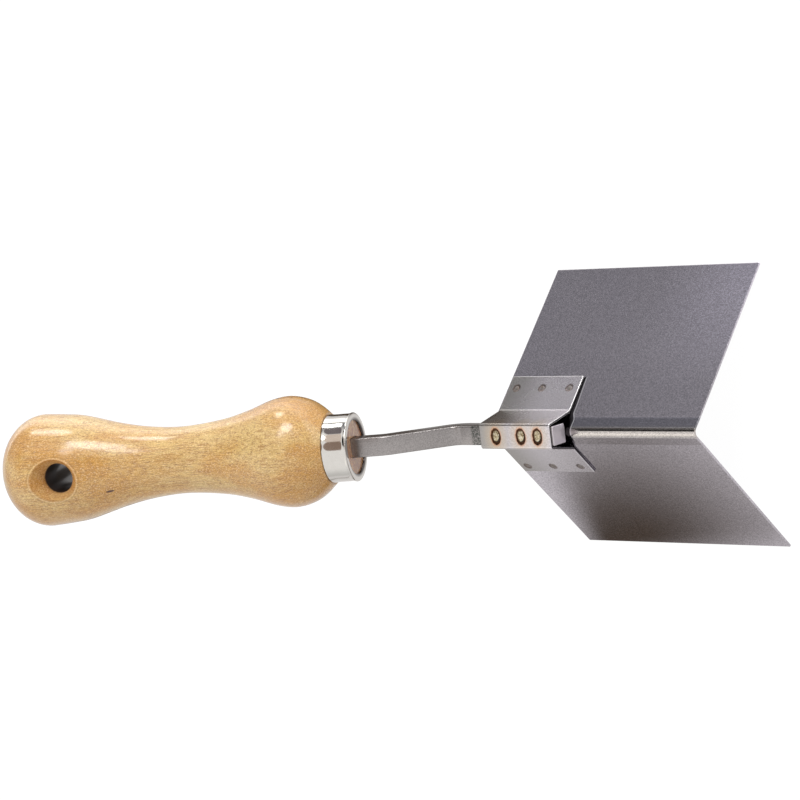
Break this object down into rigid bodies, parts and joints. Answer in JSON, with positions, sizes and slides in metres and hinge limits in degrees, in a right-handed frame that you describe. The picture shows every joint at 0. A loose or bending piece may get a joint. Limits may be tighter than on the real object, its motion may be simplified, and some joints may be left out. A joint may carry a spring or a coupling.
{
  "type": "corner trowel",
  "caption": "Corner trowel for plaster and drywall: a 90-degree V blade with a spot-welded bracket on its outer side, a cranked bar shank and a turned wooden handle with a ferrule.",
  "frame": {"origin": "middle of the blade's inside corner line, where its two flat working faces would meet", "axes": "+X along the fold to the blade's free end, away from the handle; +Z from the V's open side towards the handle; +Y across, to the left leaf"},
  "size_m": [0.2946, 0.1166, 0.1669],
  "materials": {
    "blade_steel": "rolled sheet, satin, with fine speckle",
    "bracket_steel": "rolled sheet, satin, with heat tint round the spot welds",
    "shank_steel": "bar stock, dull satin",
    "weld_metal": "heat-tinted spot weld",
    "ferrule_chrome": "bright plated",
    "handle_wood": "clear gloss lacquer over fine-grained light hardwood"
  },
  "bodies": {
    "root": {"blade": "blade_steel", "bracket": "bracket_steel", "shank": "shank_steel", "shank_welds": "weld_metal", "left_flange_welds": "weld_metal", "right_flange_welds": "weld_metal", "ferrule": "ferrule_chrome", "handle": "handle_wood"}
  },
  "joints": []
}
